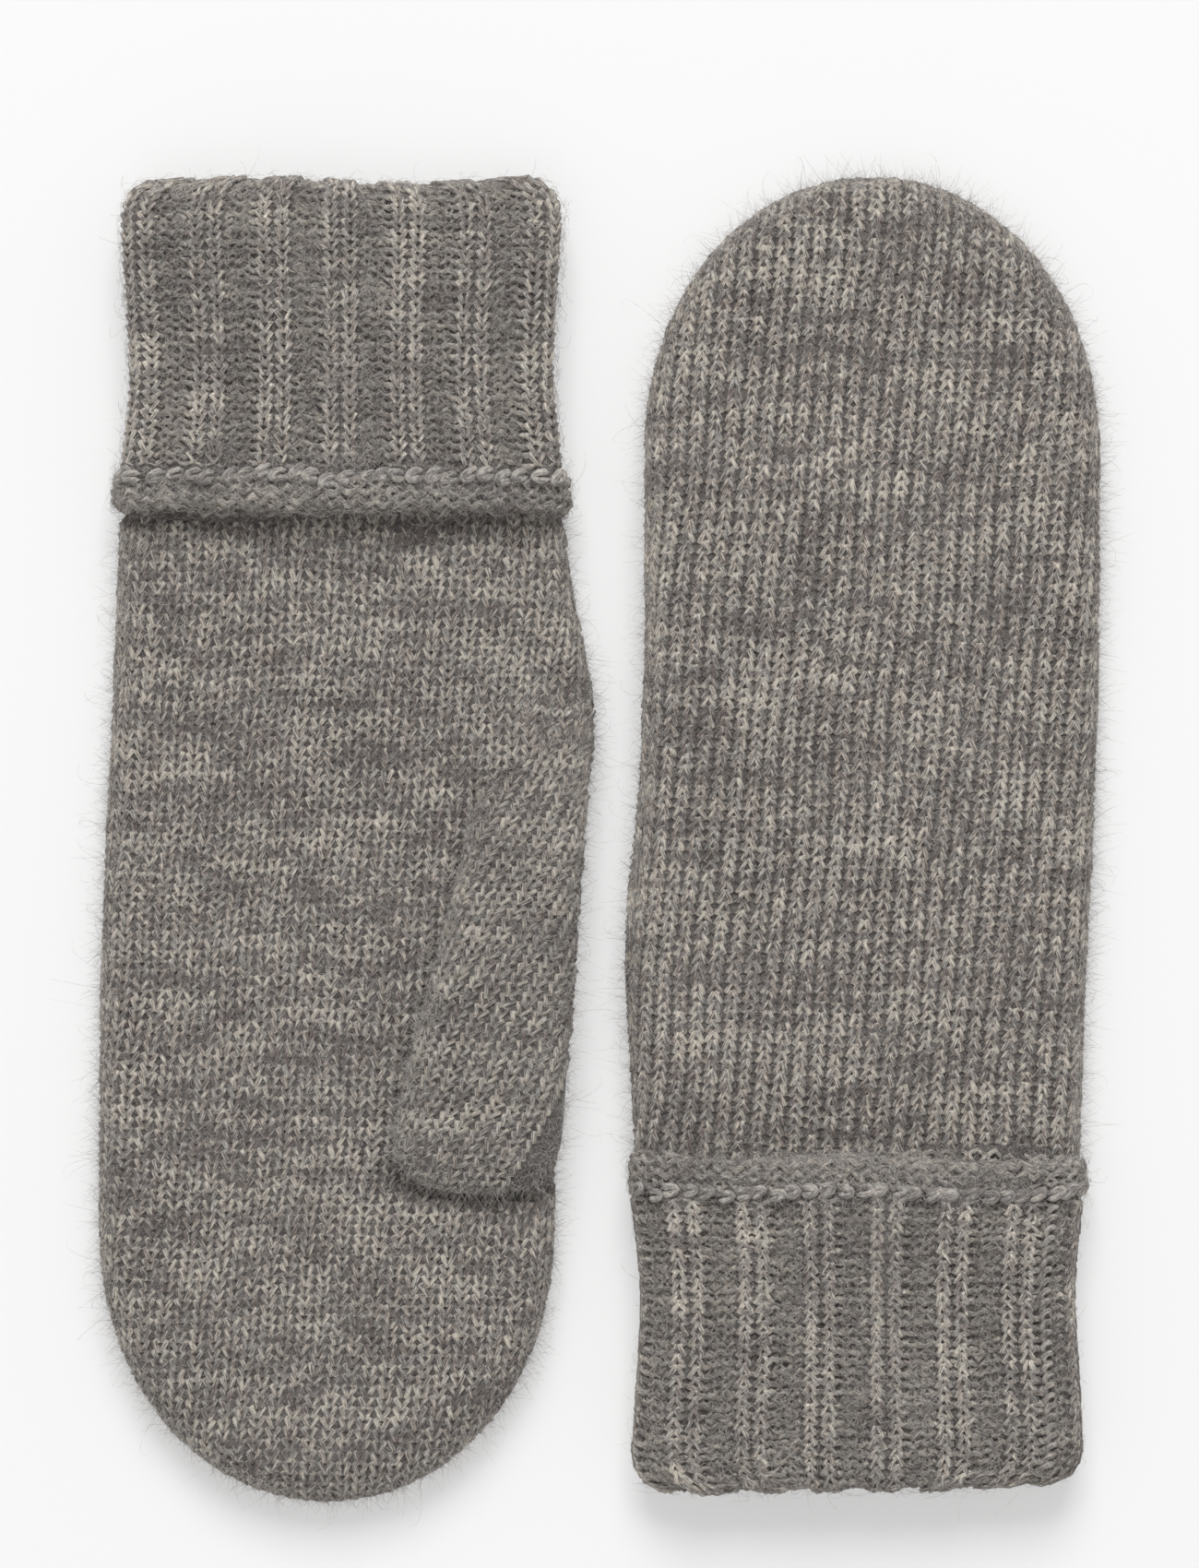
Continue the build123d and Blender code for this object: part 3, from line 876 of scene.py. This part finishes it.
def hand_panel(side, upper):
    """The loops, the web and the fibres of one side of a hand."""
    panel = Hand(side, upper)
    palm = upper == (side == "left")
    part = "palm_panel" if palm else "back_panel"
    stem = f"{side}_{'palm' if palm else 'back'}"
    seed = 10 + 20 * upper + 7 * (side == "left")
    middle = place(side, np.array([[0.0, 150.0, 6.0]]))
    panel.facing = facing_of(panel, side, 0, 150, middle)
    material = left_hand_wool if side == "left" else hand_wool
    loops = knit_panel(
        stem + "_stitches", panel, material,
        wale_way=(-WALE_LEAN, 1), course_way=(1, 0),
        start=panel.start, end=TIP_S + 8, reach_across=70, seed=seed,
        cloth_shift=10.0 * seed, sides=6 if upper else 4,
    )
    finish_piece(loops, side, "mitten", part)

    def sheet_shape(u, v):
        s = panel.start + (v + 1) / 2 * (TIP_S + RIM * 0.57 - 0.3 - panel.start)
        grow = turned_down(RIM)
        w = np.clip((s - (TIP_S - TIP_LENGTH)) / (TIP_LENGTH + grow), 0, 1)
        reach = (palm_half(side, s) + grow) * (1 - w**TIP_SQUARE) ** (1 / TIP_SQUARE)
        q = palm_centre(side, s) + u * reach * 0.998
        return flat_places(panel, side, q, s, -0.1, 1, 50.0)

    web = web_piece(stem + "_web", sheet_shape, 44, 84, gap_shade_felt)
    finish_piece(web, side, "mitten", part)
    count = FIBRES["upper" if upper else "lower"]
    roots = strewn(panel.flat_edge, (-56, 56), (HEM_S, TIP_S + 4), count, seed + 5)
    fibres = fuzz_piece(stem + "_fibres", panel, side, roots, seed + 6)
    finish_piece(fibres, side, "mitten", part)


def thumb_side(side, upper):
    """The loops, the web and the fibres of one side of a thumb."""
    panel = Thumb(side, upper)
    stem = f"{side}_thumb_{'upper' if upper else 'lower'}"
    seed = 50 + 9 * upper + 5 * (side == "left")
    q0, s0 = thumb_place(side, 50.0, -12.0)
    other = Thumb(side, not upper)
    middle = (place(side, panel(q0, s0)) + place(side, other(q0, s0))) / 2
    panel.facing = facing_of(panel, side, q0, s0, middle)
    lean = THUMB_WALE_LEAN
    loops = knit_panel(
        stem + "_stitches", panel, thumb_wool,
        wale_way=(-math.sin(lean), math.cos(lean)), course_way=(math.cos(lean), math.sin(lean)),
        start=70, end=260, reach_across=130, seed=seed, cloth_shift=400 + 10.0 * seed,
    )
    finish_piece(loops, side, "thumb", "thumb")

    def sheet_shape(u, v):
        m = -8.6 + (v + 1) / 2 * (THUMB_LENGTH + 8.6 + 2.6)
        grow = turned_down(THUMB_RIM)
        w = np.clip((m - (THUMB_LENGTH - THUMB_TIP_LENGTH)) / (THUMB_TIP_LENGTH + grow), 0, 1)
        half = thumb_half(m)
        n = -half + u * (half + grow) * (1 - w**THUMB_SQUARE) ** (1 / THUMB_SQUARE) * 0.998
        q, s = thumb_place(side, m, n)
        return flat_places(panel, side, q, s, -0.1, 1, 70.0)

    web = web_piece(stem + "_web", sheet_shape, 20, 44, gap_shade_felt)
    finish_piece(web, side, "thumb", "thumb")
    count = FIBRES["left thumb" if side == "left" and upper else "thumb"]
    roots = strewn(panel.flat_edge, (0, 60), (THUMB_S - 4, THUMB_TIP_S + 4), count, seed + 5)
    fibres = fuzz_piece(stem + "_fibres", panel, side, roots, seed + 6)
    finish_piece(fibres, side, "thumb", "thumb")


def cuff_half(s):
    to_hem = (HEM_HALF - NECK_HALF) * smooth(38, HEM_S, s)
    to_fold = (FOLD_HALF - NECK_HALF) * (1 - smooth(0, 40, s))
    before_corner = np.clip(CUFF_CORNER - s, 0, CUFF_CORNER)
    rounded = np.sqrt(np.maximum(CUFF_CORNER**2 - before_corner**2, 0))
    return NECK_HALF + to_hem + to_fold - CUFF_CORNER + rounded


def cuff_thick(s):
    return CUFF_THICK + 0.5 * smooth(50, HEM_S, s) - 0.9 * (1 - smooth(0, 12, s))


def level(height):
    """The same height, whatever the place along the mitten."""
    return lambda s: height + 0 * s


def cuff(side):
    """The turned-back cuff: its ribs, the welt at its free edge, the chain, the seam and fibres."""
    middle = place(side, np.array([[0.0, 30.0, CUFF_MIDDLE]]))
    swells = 21 if side == "left" else 31
    tube = Tube(side, cuff_half, cuff_thick, level(CUFF_MIDDLE), CUFF_WALES, swells)
    tube.facing = facing_of(tube, side, 0, 30, middle)
    seed = 70 + 5 * (side == "left")
    phase = -0.5 if side == "left" else -0.5 - 5.6 / RIB_WALE
    ribs = knit_tube(
        side + "_cuff_ribs", tube, cuff_wool, -TURNED_IN, CHAIN_S - 0.5, seed, 300.0 + seed, phase=phase
    )
    finish_piece(ribs, side, "cuff_part", "turned_cuff")

    def sheet_shape(u, v):
        a = (u + 1) / 2 * CUFF_WALES
        e = -TURNED_IN + (v + 1) / 2 * (HEM_S - 3 + TURNED_IN)
        lift = rib_ground(a - phase, e, CUFF_RELIEF) - 0.35
        return flat_places(tube, side, a, e, lift, RIB_WALE, 90.0)

    web = web_piece(side + "_cuff_web", sheet_shape, 224, 28, gap_shade_felt)
    finish_piece(web, side, "cuff_part", "turned_cuff")

    # the welt: loops that roll inwards at the free edge
    edge = Tube(
        side, lambda s: cuff_half(s) + 0.6, lambda s: cuff_thick(s) + 0.5,
        level(CUFF_MIDDLE), CUFF_WALES, swells, hem_at=HEM_S - 1.2,
    )
    edge.facing = facing_of(edge, side, 0, 60, middle)
    welt = knit_tube(
        side + "_welt_loops", edge, welt_wool, CHAIN_S + 2.4, HEM_S + 6.0, seed + 1, 500.0,
        rib=False, yarn=0.86,
    )
    finish_piece(welt, side, "cuff_part", "cuff_welt")

    def welt_shape(u, v):
        a = (u + 1) / 2 * CUFF_WALES
        e = CHAIN_S - 1 + (v + 1) / 2 * (HEM_S + 4 - CHAIN_S + 1)
        return flat_places(edge, side, a, e, -0.5, RIB_WALE, 92.0)

    welt_web = web_piece(side + "_welt_web", welt_shape, 112, 14, gap_shade_felt)
    finish_piece(welt_web, side, "cuff_part", "cuff_welt")

    # the chain: one big slanted link a stitch, high on the ribs and sunk between them
    rng = np.random.default_rng(seed + 2)
    links = []
    t = np.linspace(-2.4, 2.4, 9)
    sunk = 0.45 if side == "left" else 0.1
    for i in range(CUFF_WALES):
        high = float(rib_face(np.array(i + 0.25)))
        slant = 0.5 + 0.35 * rng.normal()
        a = i + phase - 0.5 * np.cos(t) + 0.14 * rng.normal()
        e = CHAIN_S + 0.8 * np.sin(t) + slant * np.cos(t) + 0.38 * rng.normal()
        lift = 0.5 + 0.5 * np.cos(t * 0.9) + sunk * high + 0.22 * rng.normal()
        points, _ = lifted(edge, side, a, e, lift, edge.facing)
        radius = np.full(len(t), 0.8) * (1 + 0.14 * rng.normal())
        radius[[0, -1]] = 0.05
        cloth = np.column_stack([a * RIB_WALE, e, np.full(len(t), 600.0 + i)])
        links.append(strand(points, radius, cloth))
    chain = yarn_piece(side + "_chain_links", links, chain_wool, 6)
    finish_piece(chain, side, "cuff_part", "cuff_chain")

    # the seam: a whipped yarn over the ribs, on the upper side of the right cuff only
    turns = 26
    t = np.linspace(0, turns * TAU, turns * 10)
    lap = 4 * (NECK_HALF - CUFF_RIM) + TAU * CUFF_RIM
    a = (SEAM_Q if side == "right" else lap / 2 - SEAM_Q) / lap * CUFF_WALES + 0.2 * np.cos(t)
    e = 3.0 + t / t[-1] * (CHAIN_S - 5.0) + 0.5 * np.sin(t)
    lift = 0.55 + 0.5 * np.sin(t)
    points, _ = lifted(tube, side, a, e, lift, tube.facing)
    radius = np.full(len(t), 0.62)
    radius[[0, -1]] = 0.03
    cloth = np.column_stack([a * RIB_WALE, e, 0 * a + 700])
    seam = yarn_piece(side + "_cuff_seam_yarn", [strand(points, radius, cloth)], seam_wool, 6)
    finish_piece(seam, side, "cuff_part", "cuff_seam")

    rng = np.random.default_rng(seed + 3)
    for label, surface, e_range, length, node in (
        ("cuff", tube, (-1, CHAIN_S), 2.4, "turned_cuff"),
        ("welt", edge, (CHAIN_S - 1, HEM_S + 3), 2.6, "cuff_welt"),
    ):
        count = FIBRES[label]
        # most of them are on the upper side
        round_it = CUFF_WALES / 4 * rng.normal(0, 1, count).clip(-2, 2) * 0.9
        roots = np.mod(round_it, CUFF_WALES), rng.uniform(*e_range, count), np.full(count, 0.7)
        fibres = fuzz_piece(f"{side}_{label}_fibres", surface, side, roots, seed + 4, length, height=1.2)
        finish_piece(fibres, side, "cuff_part", node)


def inner_cuff(side):
    """The ribs inside the cuff, which show when it is unrolled."""
    middle = place(side, np.array([[0.0, 30.0, INNER_MIDDLE]]))
    tube = Tube(
        side, lambda s: cuff_half(np.maximum(s, 12)) - 4.6,
        level(INNER_THICK), level(INNER_MIDDLE), INNER_WALES, 41, turn_at=-40,
    )
    tube.facing = facing_of(tube, side, 0, 30, middle)
    ribs = knit_tube(
        side + "_inner_ribs", tube, cuff_wool, 5.0, HEM_S, 90, 350.0, relief=0.3, sides=4
    )
    finish_piece(ribs, side, "mitten", "inner_cuff")

    def sheet_shape(u, v):
        a = (u + 1) / 2 * INNER_WALES
        e = 4.5 + (v + 1) / 2 * (HEM_S - 4.5)
        return flat_places(tube, side, a, e, -0.4, RIB_WALE, 95.0)

    web = web_piece(side + "_inner_web", sheet_shape, 72, 24, gap_shade_felt)
    finish_piece(web, side, "mitten", "inner_cuff")


def whipped(name, path, normal, side, width, pitch, radius, body, node):
    """A seam: yarn whipped round a line along the cloth."""
    steps = np.linalg.norm(np.diff(path, axis=0), axis=1)
    length = np.concatenate([[0], np.cumsum(steps)])
    turns = length[-1] / pitch
    t = np.linspace(0, 1, int(turns * 8))
    line = np.column_stack([np.interp(t * length[-1], length, path[:, i]) for i in range(3)])
    up = np.column_stack([np.interp(t * length[-1], length, normal[:, i]) for i in range(3)])
    ahead = np.gradient(line, axis=0)
    ahead /= np.linalg.norm(ahead, axis=1, keepdims=True)
    across = np.cross(ahead, up)
    turn = t * turns * TAU
    points = line + across * (width * np.cos(turn))[:, None]
    points = points + up * (0.5 * width * np.sin(turn))[:, None]
    thick = np.full(len(t), radius)
    thick[[0, -1]] = 0.03
    cloth = np.column_stack([t * length[-1], turn * 0, turn * 0 + 800])
    piece = yarn_piece(name, [strand(points, thick, cloth)], seam_wool, 5)
    finish_piece(piece, side, body, node)


def squared(wave, power):
    """A wave whose turns are squarer than a circle's."""
    return np.sign(wave) * np.abs(wave) ** power


def out_from(line):
    """Level directions at right angles to a line that runs round a rim."""
    up = np.cross(np.gradient(line, axis=0), [0.0, 0.0, 1.0])
    return up / np.linalg.norm(up, axis=1, keepdims=True)


def seams(side):
    """The whipped seams round the hand, the wrist, the thumb's tip and its root."""
    upper = Hand(side, True)
    # round the hand, in the rim between the two panels
    grow = turned_down(RIM) - 0.02
    s_run = np.linspace(HEM_S + 2, TIP_S - TIP_LENGTH, 120)
    arc = np.linspace(0, math.pi, 120)
    tip_half = float(palm_half(side, TIP_S - TIP_LENGTH))
    tip_centre = float(palm_centre(side, TIP_S))
    centre, half = palm_centre(side, s_run), palm_half(side, s_run)
    outer = np.column_stack([centre - half - grow, s_run])
    tip_q = tip_centre - (tip_half + grow) * np.cos(arc)
    tip_s = TIP_S - TIP_LENGTH + (TIP_LENGTH + grow) * np.sin(arc)
    tip = np.column_stack([tip_q, tip_s])
    inner = np.column_stack([centre + half + grow, s_run])[::-1]
    whole = np.concatenate([outer[:-1], tip[1:-1], inner[1:]])
    split = THUMB_S - 4
    in_gusset = (whole[:, 0] > 0) & (whole[:, 1] < split)
    for node, part in (("side_seam", whole[~in_gusset]), ("gusset_seam", whole[in_gusset])):
        line = place(side, upper(part[:, 0], part[:, 1]))
        whipped(f"{side}_{node}_yarn", line, out_from(line), side, 0.55, 2.1, 0.42, "mitten", node)
    # round the wrist, where the hand meets the inner cuff
    t = np.linspace(0, TAU, 160)
    q = (WRIST_HALF - WRIST_DRAWN_IN) * squared(np.cos(t), 0.5)
    z = INNER_MIDDLE + 3.2 * squared(np.sin(t), 0.5)
    line = place(side, np.column_stack([q, 0 * t + HEM_S - 2.6, z]))
    up = np.column_stack([0 * t, 0 * t, np.sign(np.sin(t) + 1e-6)])
    whipped(f"{side}_wrist_seam_yarn", line, up, side, 0.6, 2.2, 0.5, "mitten", "wrist_seam")
    # round the tip of the thumb
    thumb = Thumb(side, True)
    arc = np.linspace(0.25, math.pi - 0.25, 60)
    grow = turned_down(THUMB_RIM) - 0.02
    half = thumb_half(THUMB_LENGTH)
    n = -half + (half + grow) * squared(np.cos(arc), 0.8)
    m = THUMB_LENGTH - THUMB_TIP_LENGTH + (THUMB_TIP_LENGTH + grow) * squared(np.sin(arc), 0.8)
    q, s = thumb_place(side, m, n)
    line, name = place(side, thumb(q, s)), f"{side}_thumb_tip_seam_yarn"
    whipped(name, line, out_from(line), side, 0.5, 2.1, 0.4, "thumb", "thumb_tip_seam")
    # across the root of the thumb
    n = np.linspace(-1.5, -THUMB_ROOT, 30)
    q, s = thumb_place(side, 0 * n - 5.0, n)
    panel = Hand(side, side == "left")
    line = place(side, panel(q, s)) + [0, 0, 0.6 if side == "left" else -0.6]
    up = np.tile([0.0, 0.0, 1.0], (len(n), 1))
    name = f"{side}_thumb_root_seam_yarn"
    whipped(name, line, up, side, 0.6, 2.1, 0.42, "mitten", "thumb_root_seam")


for side in ("left", "right"):
    for upper in (True, False):
        hand_panel(side, upper)
        thumb_side(side, upper)
    cuff(side)
    inner_cuff(side)
    seams(side)

# the rings that the yarns were swept with are not part of the object
for sides in (3, 4, 5, 6):
    bpy.data.objects.remove(yarn_section(sides))

# ---- Table, lamps and camera ---------------------------------------------------------------
table = bmesh.new()
bmesh.ops.create_grid(table, x_segments=1, y_segments=1, size=3.0)
table_mesh = bpy.data.meshes.new("table")
table.to_mesh(table_mesh)
table.free()
floor = bpy.data.objects.new("table", table_mesh)
floor.location.z = -0.0005
bpy.context.scene.collection.objects.link(floor)
paper = bpy.data.materials.new("pale_paper")
paper.use_nodes = True
paper_shader = paper.node_tree.nodes["Principled BSDF"].inputs
paper_shader["Base Color"].default_value = (0.56, 0.56, 0.56, 1)
paper_shader["Roughness"].default_value = 0.9
paper_shader["Emission Color"].default_value = (1, 1, 1, 1)
paper_shader["Emission Strength"].default_value = 0.355
table_mesh.materials.append(paper)

world = bpy.data.worlds.new("studio")
world.use_nodes = True
world.node_tree.nodes["Background"].inputs["Color"].default_value = (1, 1, 1, 1)
world.node_tree.nodes["Background"].inputs["Strength"].default_value = 0.46
bpy.context.scene.world = world


def soft_lamp(name, place, aim, size, power):
    light = bpy.data.lights.new(name, "AREA")
    light.shape = "SQUARE"
    light.size = size
    light.energy = power
    lamp = bpy.data.objects.new(name, light)
    lamp.location = place
    lamp.rotation_euler = (Vector(aim) - Vector(place)).to_track_quat("-Z", "Y").to_euler()
    bpy.context.scene.collection.objects.link(lamp)


soft_lamp("key", (0.0, 3.6, 3.9), (0, 0, 0), 2.8, 208)
soft_lamp("fill", (-0.5, -1.2, 3.4), (0, 0, 0), 2.6, 14)

FRAME_HEIGHT = 0.31875    # what the view takes in, at the height of the wool
WOOL_HEIGHT = 0.012
CAMERA_HEIGHT = 1.5
SENSOR = 36
camera_data = bpy.data.cameras.new("camera")
camera_data.sensor_fit = "VERTICAL"
camera_data.sensor_height = SENSOR
camera_data.lens = SENSOR * (CAMERA_HEIGHT - WOOL_HEIGHT) / FRAME_HEIGHT
camera = bpy.data.objects.new("camera", camera_data)
camera.location = (0, 0.01125, CAMERA_HEIGHT)
bpy.context.scene.collection.objects.link(camera)
bpy.context.scene.camera = camera
bpy.context.scene.view_settings.view_transform = "Standard"
